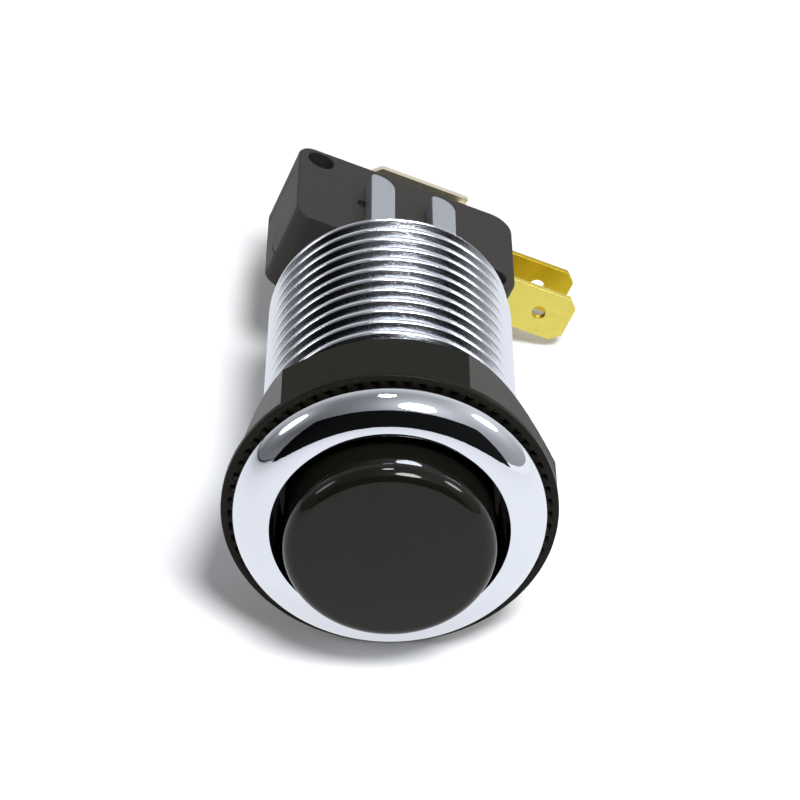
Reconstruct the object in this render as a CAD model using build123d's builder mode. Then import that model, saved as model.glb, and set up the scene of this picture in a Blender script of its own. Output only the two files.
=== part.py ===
"""Arcade push button with its snap-action switch, lying on its side as it comes to rest.

The button's axis is Y: the plunger faces -Y and the switch is at +Y.  The origin is on that
axis, in the plane of the bezel's underside, where the button seats on its panel.
"""
import os
from math import asin, cos, degrees, radians, sin, sqrt

from build123d import *

# Sizes in millimetres, angles in degrees
# Housing: bezel, barrel, web and switch legs, one plated moulding
bezel_height = 2.8
bezel_rim = 0.1
roll_setback = 0.5
rim_width = 3.95
lip_width = 0.1
lip_height = 2.75
recess_width = 1.35
recess_depth = 9.0
barrel_wall = 2.8
barrel_length = 36.9
thread_pitch = 2.04
thread_depth = 0.85
thread_crest = 0.25
crest_setback = 0.3
web_thickness = 2.0
web_setback = 1.4
leg_spacing = 7.8
leg_width = 3.0
leg_thickness = 2.1
leg_reach = 11.8
leg_step = 1.8
leg_tip_small = 0.6
leg_tip_large = 2.0
pip_diameter = 1.6
pip_height = 0.4
pip_setback = 5.0

# Plunger
plunger_diameter = 22.1
plunger_height = 7.4
dome_rise = 0.7
plunger_rounding = 1.6
plunger_wall = 1.6
crown_thickness = 2.2
skirt_depth = 16.0
rib_thickness = 1.4
spring_seat = 12.0
guide_diameter = 7.0
guide_length = 10.0
pusher_diameter = 3.4
pusher_margin = 0.25
pusher_root = 6.0
hook_width = 4.0
hook_thickness = 1.4
hook_inset = 2.0
hook_nose = 1.8
barb_height = 0.8
barb_land = 0.4

# Return spring
spring_diameter = 10.9
wire_diameter = 0.9
wire_sides = 6
spring_turns = 6.0

# Lock nut
nut_wall = 0.8
corner_rise = 2.9
flange_margin = 0.05
flange_thickness = 0.7
nut_length = 10.9
nut_corner_length = 6.6
nut_turn = 8.0
nut_gap = 0.5
tooth_count = 64
tooth_gap = 0.75
tooth_length = 2.0
tooth_height = 0.4
tooth_rim = 0.7

# Snap-action switch
switch_roll = 20.8
switch_gap = 6.75
case_height = 15.9
case_thickness = 10.3
case_wall = 1.2
case_edge = 0.6
base_height = 5.0
base_floor = 1.5
base_block = 5.6
corner_small = 2.0
corner_large = 2.8
hole_diameter = 3.1
hole_inset = 2.8
hole_setback = 2.1
actuator_room = 3.6
actuator_width = 2.4
actuator_depth = 3.6
actuator_proud = 0.6
actuator_lip = 0.7
actuator_lip_height = 0.8
nose_width = 1.6
nose_depth = 2.0
blade_width = 4.4
blade_thickness = 0.3
blade_rail = 0.8
window_length = 4.6
leaf_thickness = 0.2
contact_diameter = 1.8
contact_head = 0.7
contact_gap = 1.0
contact_inset = 1.2

# Terminals
tab_width = 6.35
tab_thickness = 0.8
tab_length = 9.6
tab_chamfer = 1.2
tab_hole = 1.8
tab_hole_setback = 4.0
closed_tab_depth = 6.5
open_tab_height = 3.6
common_reach = 5.5
common_length = 12.6
common_offset = 9.1
common_inner_width = 4.0

# Travel and clearances
press_travel = 2.0
slide_fit = 0.1
thread_fit = 0.07
pass_gap = 0.25
rest_gap = 0.05
slot_gap = 0.05

# Places worked out from the sizes above
plunger_radius = plunger_diameter / 2
bore_radius = plunger_radius + slide_fit
opening_radius = bore_radius + recess_width
crown_radius = opening_radius + lip_width
bezel_radius = crown_radius + rim_width
barrel_radius = bore_radius + barrel_wall
root_radius = barrel_radius - thread_depth
last_crest = barrel_length - crest_setback
crest_count = int((last_crest - thread_pitch / 2) / thread_pitch) + 1
flat_radius = barrel_radius + nut_wall
corner_radius = flat_radius + corner_rise
flange_radius = corner_radius + flange_margin
actuator_place = pusher_diameter / 2 + pusher_margin - plunger_radius
half_length = actuator_room + case_wall - actuator_place
half_thickness = case_thickness / 2
web_rear = barrel_length - web_setback
web_front = web_rear - web_thickness
switch_front = barrel_length + switch_gap
switch_rear = switch_front + case_height
seam = switch_rear - base_height
leg_tip = switch_front + leg_reach
pip_place = leg_tip - pip_setback

along = Vector(cos(radians(switch_roll)), 0, -sin(radians(switch_roll)))
across = Vector(sin(radians(switch_roll)), 0, cos(radians(switch_roll)))
# Sketch axes: (along, Y), (along, -across) and (across, Y) of the rolled switch
face_plane = Plane(origin=(0, 0, 0), x_dir=along, z_dir=across)
end_plane = Plane(origin=(0, 0, 0), x_dir=along, z_dir=(0, 1, 0))
side_plane = Plane(origin=(0, 0, 0), x_dir=across, z_dir=-along)

# Closed and open contact stacks share the room between the two side tabs
closed_tab = switch_front + closed_tab_depth
open_tab = switch_rear - open_tab_height
closed_face = closed_tab + tab_thickness / 2
open_face = open_tab - tab_thickness / 2
moving_stack = 2 * contact_head + blade_thickness
fixed_head = (open_face - closed_face - moving_stack - contact_gap - 2 * rest_gap) / 2
blade_front = closed_face + fixed_head + rest_gap + contact_head
blade_mid = blade_front + blade_thickness / 2
blade_rear = blade_front + blade_thickness
inner_end = half_length - case_wall
contact_place = inner_end - contact_inset
pivot_place = -inner_end + tab_thickness + 2 * slot_gap
common_top = seam - tab_thickness
nose_end = common_top - press_travel - pass_gap
leaf_front = nose_end + rest_gap
actuator_rise = press_travel + actuator_proud

hook_outer = plunger_radius - hook_inset / 2
hook_inner = hook_outer - hook_thickness
hook_mid = (hook_outer + hook_inner) / 2
barb_front = web_rear + rest_gap
hook_end = barb_front + hook_nose
pusher_end = switch_front - actuator_rise - rest_gap


with BuildPart() as housing:
    # Crests of the thread, as ridges of its pitch and depth, from the panel to the rear
    ridges = []
    for crest in range(crest_count - 1, -1, -1):
        middle = last_crest - crest * thread_pitch
        ridges.append((root_radius, middle - thread_pitch / 2))
        ridges.append((barrel_radius, middle - thread_crest / 2))
        ridges.append((barrel_radius, middle + thread_crest / 2))
    flank_slope = 2 * thread_depth / (thread_pitch - thread_crest)
    end_radius = barrel_radius - flank_slope * (crest_setback - thread_crest / 2)
    # Turned outline of the bezel and barrel, the bezel's roll cut off short of upright at its rim
    roll_end = asin((roll_setback + bezel_rim) / (bezel_height + roll_setback))
    with BuildSketch(Plane.XY):
        with BuildLine():
            inner_roll = EllipticalCenterArc(
                (crown_radius, -lip_height),
                crown_radius - opening_radius,
                bezel_height - lip_height,
                start_angle=180,
                arc_size=90,
            )
            outer_roll = EllipticalCenterArc(
                (crown_radius, roll_setback),
                rim_width / cos(roll_end),
                bezel_height + roll_setback,
                start_angle=270,
                arc_size=90 - degrees(roll_end),
            )
            Polyline(
                outer_roll @ 1,
                (bezel_radius, 0),
                (root_radius, 0),
                *ridges,
                (end_radius, barrel_length),
                (bore_radius, barrel_length),
                (bore_radius, recess_depth),
                (opening_radius, recess_depth),
                inner_roll @ 0,
            )
        make_face()
    revolve(axis=Axis.Y)
    # Web across the rear of the bore, pierced for the pusher and the two hooks
    with BuildSketch(end_plane.offset(web_front)):
        Circle((bore_radius + root_radius) / 2)
        with Locations((actuator_place, 0)):
            Circle(pusher_diameter / 2 + slide_fit, mode=Mode.SUBTRACT)
        with Locations((0, hook_mid), (0, -hook_mid)):
            Rectangle(hook_width + 2 * pass_gap, hook_thickness + 2 * pass_gap, mode=Mode.SUBTRACT)
    extrude(amount=web_thickness)
    # Four legs: a stepped foot carries the switch's front face, a prong grips its big face
    for side in (1, -1):
        with BuildSketch(face_plane.offset(side * half_thickness)) as prongs:
            with Locations((-leg_spacing / 2, web_rear), (leg_spacing / 2, web_rear)):
                Rectangle(leg_width, leg_tip - web_rear, align=(Align.CENTER, Align.MIN))
            tips = prongs.vertices().group_by(Axis.Y)[-1].sort_by(Axis.X)
            fillet((tips[0], tips[2]), radius=leg_tip_small)
            tips = prongs.vertices().group_by(Axis.Y)[-1].sort_by(Axis.X)
            fillet((tips[1], tips[3]), radius=leg_tip_large)
        extrude(amount=side * leg_thickness)
        with BuildSketch(face_plane.offset(side * (half_thickness + leg_thickness))):
            with Locations((-leg_spacing / 2, web_rear), (leg_spacing / 2, web_rear)):
                Rectangle(leg_width, switch_front - web_rear, align=(Align.CENTER, Align.MIN))
        extrude(amount=-side * (leg_thickness + leg_step))
        with BuildSketch(face_plane.offset(side * half_thickness)):
            with Locations((-leg_spacing / 2, pip_place), (leg_spacing / 2, pip_place)):
                Circle(pip_diameter / 2)
        extrude(amount=-side * pip_height)
housing.part.label = "housing"


with BuildPart() as plunger:
    # Domed cap with an open skirt
    dome_radius = (plunger_radius**2 + dome_rise**2) / (2 * dome_rise)
    dome_edge = dome_rise - plunger_height
    dome_mid = dome_radius - sqrt(dome_radius**2 - plunger_radius**2 / 4) - plunger_height
    crown_under = crown_thickness - plunger_height
    cup_radius = plunger_radius - plunger_wall
    with BuildSketch(Plane.XY) as cap:
        with BuildLine():
            ThreePointArc(
                (0, -plunger_height), (plunger_radius / 2, dome_mid), (plunger_radius, dome_edge)
            )
            Polyline(
                (plunger_radius, dome_edge),
                (plunger_radius, skirt_depth),
                (cup_radius, skirt_depth),
                (cup_radius, crown_under),
                (0, crown_under),
                (0, -plunger_height),
            )
        make_face()
        shoulder = cap.vertices().group_by(Axis.X)[-1].sort_by(Axis.Y)[0]
        fillet(shoulder, radius=plunger_rounding)
    revolve(axis=Axis.Y)
    # Cross ribs under the crown seat the spring, and the boss keeps it in line
    with BuildSketch(end_plane.offset(crown_under)):
        Rectangle(plunger_diameter - plunger_wall, rib_thickness)
        Rectangle(rib_thickness, plunger_diameter - plunger_wall)
    extrude(amount=spring_seat - crown_under)
    with BuildSketch(end_plane.offset(crown_under)):
        Circle(guide_diameter / 2)
    extrude(amount=spring_seat + guide_length - crown_under)
    # Pusher that reaches the switch through the web
    with BuildSketch(end_plane.offset(skirt_depth - pusher_root)):
        with Locations((actuator_place, 0)):
            Circle(pusher_diameter / 2)
    extrude(amount=pusher_end - skirt_depth + pusher_root)
    # Two hooks that snap through the web and hold the plunger in
    with BuildSketch(end_plane.offset(skirt_depth - pusher_root)):
        with Locations((0, hook_mid), (0, -hook_mid)):
            Rectangle(hook_width, hook_thickness)
    extrude(amount=hook_end - skirt_depth + pusher_root)
    for side in (1, -1):
        with BuildSketch(side_plane):
            with BuildLine():
                Polyline(
                    (side * hook_inner, barb_front),
                    (side * (hook_inner - barb_height), barb_front),
                    (side * (hook_inner - barb_height), barb_front + barb_land),
                    (side * hook_inner, hook_end),
                    close=True,
                )
            make_face()
        extrude(amount=hook_width / 2, both=True)
plunger.part.label = "plunger"


with BuildPart() as return_spring:
    coil_length = web_front - spring_seat - wire_diameter
    coil_radius = (spring_diameter - wire_diameter) / 2
    coil_start = spring_seat + wire_diameter / 2
    with BuildLine() as coil:
        Helix(
            pitch=coil_length / spring_turns,
            height=coil_length,
            radius=coil_radius,
            center=(0, coil_start, 0),
            direction=(0, 1, 0),
        )
    with BuildSketch(Plane(origin=coil.line @ 0, z_dir=coil.line % 0)):
        RegularPolygon(wire_diameter / 2, wire_sides)
    sweep(path=coil.line, is_frenet=True)
return_spring.part.label = "return_spring"


with BuildPart() as lock_nut:
    nut_plane = Plane(
        origin=(0, nut_gap, 0),
        x_dir=(cos(radians(nut_turn)), 0, sin(radians(nut_turn))),
        z_dir=(0, 1, 0),
    )
    flat_half = sqrt(corner_radius**2 - flat_radius**2)
    with BuildSketch(nut_plane):
        Circle(flange_radius)
    extrude(amount=flange_thickness)
    # Six flats, two of them wider than the rest
    with BuildSketch(nut_plane):
        with BuildLine():
            Polyline(
                (flat_half, flat_radius),
                (corner_radius, 0),
                (flat_half, -flat_radius),
                (-flat_half, -flat_radius),
                (-corner_radius, 0),
                (-flat_half, flat_radius),
                close=True,
            )
        make_face()
    extrude(amount=nut_length)
    # Cone that takes the corners off towards the rear
    cone_slope = (corner_radius - flat_radius) / (nut_length - nut_corner_length)
    with BuildSketch(Plane.XY):
        with BuildLine():
            Polyline(
                (corner_radius, nut_gap + nut_corner_length),
                (corner_radius + cone_slope * nut_length, nut_gap + nut_corner_length),
                (corner_radius + cone_slope * nut_length, nut_gap + 2 * nut_length - nut_corner_length),
                (2 * flat_radius - corner_radius, nut_gap + 2 * nut_length - nut_corner_length),
                close=True,
            )
        make_face()
    revolve(axis=Axis.Y, mode=Mode.SUBTRACT)
    # Hole over the thread, and the serrations in the front of the flange
    with BuildSketch(nut_plane):
        Circle(barrel_radius + thread_fit)
    extrude(amount=nut_length, mode=Mode.SUBTRACT)
    with BuildSketch(nut_plane):
        with PolarLocations(flange_radius - tooth_rim - tooth_length / 2, tooth_count):
            Rectangle(tooth_length, tooth_gap)
    extrude(amount=tooth_height, mode=Mode.SUBTRACT)
lock_nut.part.label = "lock_nut"


with BuildPart() as switch_cover:
    # Front shell of the case, open at the seam
    with BuildSketch(face_plane) as cover_outline:
        with Locations((0, switch_front)):
            Rectangle(2 * half_length, seam - switch_front, align=(Align.CENTER, Align.MIN))
        fillet(cover_outline.vertices().group_by(Axis.Y)[0], radius=corner_small)
    extrude(amount=half_thickness, both=True)
    cover_faces = switch_cover.faces().filter_by(face_plane)
    long_edges = cover_faces.edges().filter_by(Axis(origin=(0, 0, 0), direction=along))
    chamfer(long_edges.group_by(Axis.Y)[0], length=case_edge)
    # Room inside, kept clear of the front mounting hole
    with BuildSketch(face_plane):
        with BuildLine():
            Polyline(
                (-inner_end, switch_front + case_wall),
                (inner_end - base_block, switch_front + case_wall),
                (inner_end - base_block, switch_front + base_block),
                (inner_end, switch_front + base_block),
                (inner_end, seam),
                (-inner_end, seam),
                close=True,
            )
        make_face()
    extrude(amount=half_thickness - case_wall, both=True, mode=Mode.SUBTRACT)
    with BuildSketch(face_plane):
        with Locations((half_length - hole_inset, switch_front + hole_setback)):
            Circle(hole_diameter / 2)
    extrude(amount=half_thickness, both=True, mode=Mode.SUBTRACT)
    # Ways out for the actuator and the closed contact's tab
    with BuildSketch(end_plane.offset(switch_front)):
        with Locations((actuator_place, 0)):
            Rectangle(actuator_width + 2 * slide_fit, actuator_depth + 2 * slide_fit)
    extrude(amount=case_wall, mode=Mode.SUBTRACT)
    with BuildSketch(face_plane):
        with Locations((inner_end, closed_tab)):
            Rectangle(case_wall, tab_thickness + 2 * slot_gap, align=(Align.MIN, Align.CENTER))
    extrude(amount=tab_width / 2 + slot_gap, both=True, mode=Mode.SUBTRACT)
    # Dimples for the legs' pips
    for side in (1, -1):
        with BuildSketch(face_plane.offset(side * half_thickness)):
            with Locations((-leg_spacing / 2, pip_place), (leg_spacing / 2, pip_place)):
                Circle(pip_diameter / 2 + slot_gap)
        extrude(amount=-side * (pip_height + slot_gap), mode=Mode.SUBTRACT)
switch_cover.part.label = "switch_cover"


with BuildPart() as switch_base:
    # Rear tray of the case, solid round the rear mounting hole
    with BuildSketch(face_plane) as base_outline:
        with Locations((0, seam)):
            Rectangle(2 * half_length, base_height, align=(Align.CENTER, Align.MIN))
        rear_corners = base_outline.vertices().group_by(Axis.Y)[-1].sort_by(Axis.X)
        fillet(rear_corners[0], radius=corner_small)
        rear_corners = base_outline.vertices().group_by(Axis.Y)[-1].sort_by(Axis.X)
        fillet(rear_corners[-1], radius=corner_large)
    extrude(amount=half_thickness, both=True)
    with BuildSketch(face_plane):
        with Locations((inner_end, seam)):
            Rectangle(2 * inner_end - base_block, base_height - base_floor, align=(Align.MAX, Align.MIN))
    extrude(amount=half_thickness - case_wall, both=True, mode=Mode.SUBTRACT)
    with BuildSketch(face_plane):
        with Locations((hole_inset - half_length, switch_rear - hole_setback)):
            Circle(hole_diameter / 2)
    extrude(amount=half_thickness, both=True, mode=Mode.SUBTRACT)
    # Ways out for the open contact's tab and the common tab
    with BuildSketch(face_plane):
        with Locations((inner_end, open_tab)):
            Rectangle(case_wall, tab_thickness + 2 * slot_gap, align=(Align.MIN, Align.CENTER))
    extrude(amount=tab_width / 2 + slot_gap, both=True, mode=Mode.SUBTRACT)
    with BuildSketch(face_plane):
        with Locations((common_offset - tab_thickness / 2, switch_rear)):
            Rectangle(tab_thickness + 2 * slot_gap, base_floor, align=(Align.CENTER, Align.MAX))
    extrude(amount=common_inner_width / 2 + slot_gap, both=True, mode=Mode.SUBTRACT)
switch_base.part.label = "switch_base"


with BuildPart() as switch_actuator:
    # Button, the lip that keeps it in the cover, and the nose that bends the leaf
    lip_front = switch_front + case_wall + rest_gap
    with BuildSketch(end_plane.offset(switch_front - actuator_rise)):
        with Locations((actuator_place, 0)):
            Rectangle(actuator_width, actuator_depth)
    extrude(amount=lip_front + actuator_lip_height - switch_front + actuator_rise)
    top_edges = switch_actuator.faces().sort_by(Axis.Y)[0].edges()
    fillet(top_edges, radius=actuator_width / 4)
    with BuildSketch(end_plane.offset(lip_front)):
        with Locations((actuator_place, 0)):
            Rectangle(actuator_width + 2 * actuator_lip, actuator_depth + 2 * actuator_lip)
    extrude(amount=actuator_lip_height)
    with BuildSketch(end_plane.offset(lip_front)):
        with Locations((actuator_place, 0)):
            Rectangle(nose_width, nose_depth)
    extrude(amount=nose_end - lip_front)
switch_actuator.part.label = "switch_actuator"


with BuildPart() as contact_blade:
    # Spring blade with the window that the actuator's nose passes through
    blade_tip = contact_place + contact_diameter / 2
    with BuildSketch(end_plane.offset(blade_front)):
        with Locations((pivot_place, 0)):
            Rectangle(blade_tip - pivot_place, blade_width, align=(Align.MIN, Align.CENTER))
        with Locations((actuator_place, 0)):
            Rectangle(window_length, blade_width - 2 * blade_rail, mode=Mode.SUBTRACT)
        with Locations((contact_place, 0)):
            Circle(contact_diameter / 4 + slot_gap, mode=Mode.SUBTRACT)
    extrude(amount=blade_thickness)
contact_blade.part.label = "contact_blade"


with BuildPart() as moving_contact:
    # Rivet through the blade's tip
    with BuildSketch(end_plane.offset(blade_front - contact_head)):
        with Locations((contact_place, 0)):
            Circle(contact_diameter / 2)
    extrude(amount=contact_head)
    with BuildSketch(end_plane.offset(blade_front)):
        with Locations((contact_place, 0)):
            Circle(contact_diameter / 4)
    extrude(amount=blade_thickness)
    with BuildSketch(end_plane.offset(blade_rear)):
        with Locations((contact_place, 0)):
            Circle(contact_diameter / 2)
    extrude(amount=contact_head)
moving_contact.part.label = "moving_contact"


with BuildPart() as snap_leaf:
    # Bowed leaf in the blade's window
    leaf_left = actuator_place - window_length / 2 + slot_gap
    leaf_right = actuator_place + window_length / 2 - slot_gap
    with BuildSketch(face_plane):
        with BuildLine():
            bow = ThreePointArc(
                (leaf_left, common_top - leaf_thickness - slot_gap),
                (actuator_place, leaf_front),
                (leaf_right, blade_mid),
            )
            under = ThreePointArc(
                (leaf_left, common_top - slot_gap),
                (actuator_place, leaf_front + leaf_thickness),
                (leaf_right - leaf_thickness, blade_mid + leaf_thickness),
            )
            Line(bow @ 0, under @ 0)
            Line(bow @ 1, under @ 1)
        make_face()
    extrude(amount=blade_width / 2 - blade_rail - slot_gap, both=True)
snap_leaf.part.label = "snap_leaf"


def side_tab(middle):
    """Flat tab that leaves the switch's right end, centred at a distance along Y."""
    tip = half_length + tab_length
    inside = contact_place - contact_diameter / 2
    with BuildPart() as tab:
        with BuildSketch(end_plane.offset(middle - tab_thickness / 2)) as tab_outline:
            with Locations((inside, 0)):
                Rectangle(tip - inside, tab_width, align=(Align.MIN, Align.CENTER))
            chamfer(tab_outline.vertices().group_by(Axis.X)[-1], length=tab_chamfer)
            with Locations((tip - tab_hole_setback, 0)):
                Circle(tab_hole / 2, mode=Mode.SUBTRACT)
        extrude(amount=tab_thickness)
    return tab.part


def fixed_contact(front):
    """Contact button on the inner end of a side tab."""
    with BuildPart() as button:
        with BuildSketch(end_plane.offset(front)):
            with Locations((contact_place, 0)):
                Circle(contact_diameter / 2)
        extrude(amount=fixed_head)
    return button.part


normally_closed_terminal = side_tab(closed_tab)
normally_closed_terminal.label = "normally_closed_terminal"
normally_open_terminal = side_tab(open_tab)
normally_open_terminal.label = "normally_open_terminal"
normally_closed_contact = fixed_contact(closed_face)
normally_closed_contact.label = "normally_closed_contact"
normally_open_contact = fixed_contact(open_face - fixed_head)
normally_open_contact.label = "normally_open_contact"


with BuildPart() as common_terminal:
    # Strip that rises from the pivot, runs along the base and out through its floor
    block_face = base_block - inner_end
    floor = switch_rear - base_floor
    common_left = common_offset - tab_thickness
    outer = switch_rear + common_reach
    with BuildSketch(face_plane):
        with BuildLine():
            Polyline(
                (pivot_place - slot_gap, blade_front),
                (pivot_place - slot_gap, common_top),
                (block_face + tab_thickness, common_top),
                (block_face + tab_thickness, floor - tab_thickness),
                (common_offset, floor - tab_thickness),
                (common_offset, outer - tab_thickness),
                (common_left, outer - tab_thickness),
                (common_left, floor),
                (block_face, floor),
                (block_face, seam),
                (pivot_place - slot_gap - tab_thickness, seam),
                (pivot_place - slot_gap - tab_thickness, blade_front),
                close=True,
            )
        make_face()
    extrude(amount=common_inner_width / 2, both=True)
    # Outer blade, bent parallel to the rear face, with a clipped and pierced end
    with BuildSketch(end_plane.offset(outer - tab_thickness)) as common_outline:
        with Locations((common_offset, 0)):
            Rectangle(common_length, tab_width, align=(Align.MAX, Align.CENTER))
        chamfer(common_outline.vertices().group_by(Axis.X)[0], length=tab_chamfer)
        with Locations((common_offset - common_length + tab_hole_setback, 0)):
            Circle(tab_hole / 2, mode=Mode.SUBTRACT)
    extrude(amount=tab_thickness)
common_terminal.part.label = "common_terminal"


os.makedirs("parts", exist_ok=True)
export_step(housing.part, "parts/housing.step")
export_step(plunger.part, "parts/plunger.step")
export_step(return_spring.part, "parts/return_spring.step")
export_step(lock_nut.part, "parts/lock_nut.step")
export_step(switch_cover.part, "parts/switch_cover.step")
export_step(switch_base.part, "parts/switch_base.step")
export_step(switch_actuator.part, "parts/switch_actuator.step")
export_step(contact_blade.part, "parts/contact_blade.step")
export_step(moving_contact.part, "parts/moving_contact.step")
export_step(snap_leaf.part, "parts/snap_leaf.step")
export_step(normally_closed_terminal, "parts/normally_closed_terminal.step")
export_step(normally_open_terminal, "parts/normally_open_terminal.step")
export_step(normally_closed_contact, "parts/normally_closed_contact.step")
export_step(normally_open_contact, "parts/normally_open_contact.step")
export_step(common_terminal.part, "parts/common_terminal.step")
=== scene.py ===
"""Dresses the packed arcade push button with fine meshes, finishes and a white studio.

The frame is the packed part, in metres.  Pieces are modelled in millimetres, the switch's on its
own axes (X along the case, Y towards its rear, Z through its thickness), and are scaled and rolled
into place when they are done.
"""

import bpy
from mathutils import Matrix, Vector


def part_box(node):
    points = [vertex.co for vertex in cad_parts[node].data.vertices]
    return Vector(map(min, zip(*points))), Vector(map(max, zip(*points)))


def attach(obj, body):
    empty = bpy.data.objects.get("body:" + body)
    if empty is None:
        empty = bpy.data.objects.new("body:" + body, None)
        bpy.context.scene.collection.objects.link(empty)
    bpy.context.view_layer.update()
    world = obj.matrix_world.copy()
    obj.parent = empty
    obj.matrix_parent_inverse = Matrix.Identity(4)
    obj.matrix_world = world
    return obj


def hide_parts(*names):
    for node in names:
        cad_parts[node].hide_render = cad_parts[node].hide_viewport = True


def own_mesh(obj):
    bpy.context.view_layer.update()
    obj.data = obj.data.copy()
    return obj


bl_info = {
    "name": "Arcade Push Button",
    "version": (1, 0, 0),
    "blender": (4, 5, 0),
    "location": "View3D > Sidebar > Button",
    "description": "Builds the fine meshes, the finishes and the stage of an arcade push button",
    "category": "Object",
}

from contextlib import contextmanager
from math import asin, atan2, ceil, cos, degrees, hypot, pi, radians, sin, sqrt, tan, tau
from types import SimpleNamespace

import bpy
from mathutils import Matrix, Vector

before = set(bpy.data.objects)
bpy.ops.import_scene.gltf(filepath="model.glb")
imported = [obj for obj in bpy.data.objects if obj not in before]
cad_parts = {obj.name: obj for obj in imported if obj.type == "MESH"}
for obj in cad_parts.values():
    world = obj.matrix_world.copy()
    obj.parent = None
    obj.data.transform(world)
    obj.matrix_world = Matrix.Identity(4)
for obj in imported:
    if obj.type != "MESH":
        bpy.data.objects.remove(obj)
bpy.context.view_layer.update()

# Millimetres within which vertices merge, and by which parts of one piece run into each other
MERGE = 0.002
SINK = 0.2


def size(name, description, millimetres):
    """A length that a user can change."""
    return bpy.props.FloatProperty(
        name=name, description=description, default=millimetres / 1000, unit="LENGTH", precision=5
    )


def colour(name, description, shade):
    """A linear colour that a user can change."""
    return bpy.props.FloatVectorProperty(
        name=name, description=description, default=shade, subtype="COLOR", size=3, min=0, max=1
    )


def amount(name, description, value, unit="NONE"):
    """A strength that a user can change."""
    return bpy.props.FloatProperty(name=name, description=description, default=value, min=0, unit=unit)


class HousingSizes(bpy.types.PropertyGroup):
    """Sizes of the chromed bezel, the threaded barrel, its web and the switch legs."""

    bezel_radius: size("Bezel radius", "Outside of the bezel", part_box("housing")[1].x * 1000)
    bezel_height: size("Bezel height", "Crown above the panel", -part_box("housing")[0].y * 1000)
    bezel_rim: size("Bezel rim", "Straight edge at the panel", 0.1)
    roll_setback: size("Roll setback", "Middle of the bezel's outer curve behind the panel", 0.5)
    crown_radius: size("Crown radius", "Highest ring of the bezel", 12.6)
    opening_radius: size("Opening radius", "Hole in the bezel", 12.5)
    lip_height: size("Lip height", "Where the bezel's inner curve starts", 2.75)
    recess_depth: size("Recess depth", "Floor of the recess round the plunger", 9.0)
    bore_radius: size("Bore radius", "Inside of the barrel", 11.15)
    barrel_radius: size("Barrel radius", "Over the thread's crests", 13.95)
    barrel_length: size("Barrel length", "Panel to the barrel's rear end", 36.9)
    end_chamfer: size("End chamfer", "Chamfer at the barrel's rear end", 0.45)
    thread_pitch: size("Thread pitch", "Distance between crests", 2.04)
    crest_rounding: size("Crest rounding", "Radius of the thread's crests", 0.38)
    root_rounding: size("Root rounding", "Radius between the thread's crests", 0.32)
    last_crest: size("Last crest", "Rear end to the nearest crest, on top", 0.3)
    web_front: size("Web front", "Panel to the front of the web", 33.5)
    web_rear: size("Web rear", "Panel to the rear of the web", 35.5)
    leg_spacing: size("Leg spacing", "Between the two legs of a side", 7.8)
    leg_width: size("Leg width", "Width of a leg", 3.0)
    leg_thickness: size("Leg thickness", "Thickness of a prong", 2.1)
    leg_tip: size("Leg tip", "Panel to the tips of the legs", 55.05)
    leg_step: size("Leg step", "How far a foot reaches under the switch", 1.8)
    leg_small_corner: size("Leg small corner", "Rounding of a tip on one side", 0.6)
    leg_large_corner: size("Leg large corner", "Rounding of a tip on the other side", 2.0)


class PlungerSizes(bpy.types.PropertyGroup):
    """Sizes of the plunger and the return spring."""

    radius: size("Plunger radius", "Outside of the plunger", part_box("plunger")[1].x * 1000)
    height: size("Plunger height", "Crown above the panel", -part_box("plunger")[0].y * 1000)
    dome_rise: size("Dome rise", "Rise of the crown from rim to middle", 0.7)
    rounding: size("Rounding", "Radius of the plunger's rim", 1.6)
    wall: size("Wall", "Thickness of the skirt", 1.6)
    crown: size("Crown", "Thickness of the crown", 2.2)
    skirt_depth: size("Skirt depth", "Panel to the end of the skirt", 16.0)
    travel: size("Travel", "How far the plunger goes in", 2.0)
    seat: size("Spring seat", "Panel to the spring's front end", 12.0)
    rib: size("Rib", "Thickness of the cross ribs", 1.4)
    boss_radius: size("Boss radius", "Boss inside the spring", 3.5)
    boss_end: size("Boss end", "Panel to the end of the boss", 22.0)
    pusher_radius: size("Pusher radius", "Pin that presses the switch", 1.7)
    pusher_place: size("Pusher place", "Pusher from the button's axis", 9.1)
    pusher_end: size("Pusher end", "Panel to the end of the pusher", 41.0)
    root: size("Root", "How far the pusher and the hooks reach into the skirt", 6.0)
    hook_inner: size("Hook inside", "Hooks' inner faces from the axis", 8.65)
    hook_outer: size("Hook outside", "Hooks' outer faces from the axis", 10.05)
    hook_width: size("Hook width", "Width of a hook", 4.0)
    barb: size("Barb", "Height of a hook's barb", 0.8)
    barb_land: size("Barb land", "Flat on a hook's barb", 0.4)
    hook_end: size("Hook end", "Panel to the ends of the hooks", 37.35)
    spring_radius: size("Spring radius", "Middle of the spring's wire", 5.0)
    wire_radius: size("Wire radius", "Half the spring's wire", 0.45)


class NutSizes(bpy.types.PropertyGroup):
    """Sizes of the toothed lock nut."""

    flange_radius: size("Flange radius", "Outside of the flange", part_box("lock_nut")[1].z * 1000)
    flange_thickness: size("Flange thickness", "Thickness of the flange", 0.7)
    corner_radius: size("Corner radius", "Axis to the nut's corners", 17.65)
    flat_radius: size("Flat radius", "Axis to the two wide flats", 14.75)
    hole_radius: size("Hole radius", "Hole over the thread", 14.02)
    length: size("Nut length", "Whole length of the nut", 10.9)
    corner_length: size("Corner length", "Length at the corners", 6.6)
    front: size("Front gap", "Gap at the panel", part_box("lock_nut")[0].y * 1000)
    tooth_rim: size("Tooth rim", "Flange outside the serrations", 0.7)
    tooth_depth: size("Tooth depth", "Depth of the serrations", 0.4)
    turn: bpy.props.FloatProperty(
        name="Nut turn", description="How far the nut is turned", default=radians(8.0), subtype="ANGLE"
    )
    teeth: bpy.props.IntProperty(name="Teeth", description="Serrations round the flange", default=64)


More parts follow.
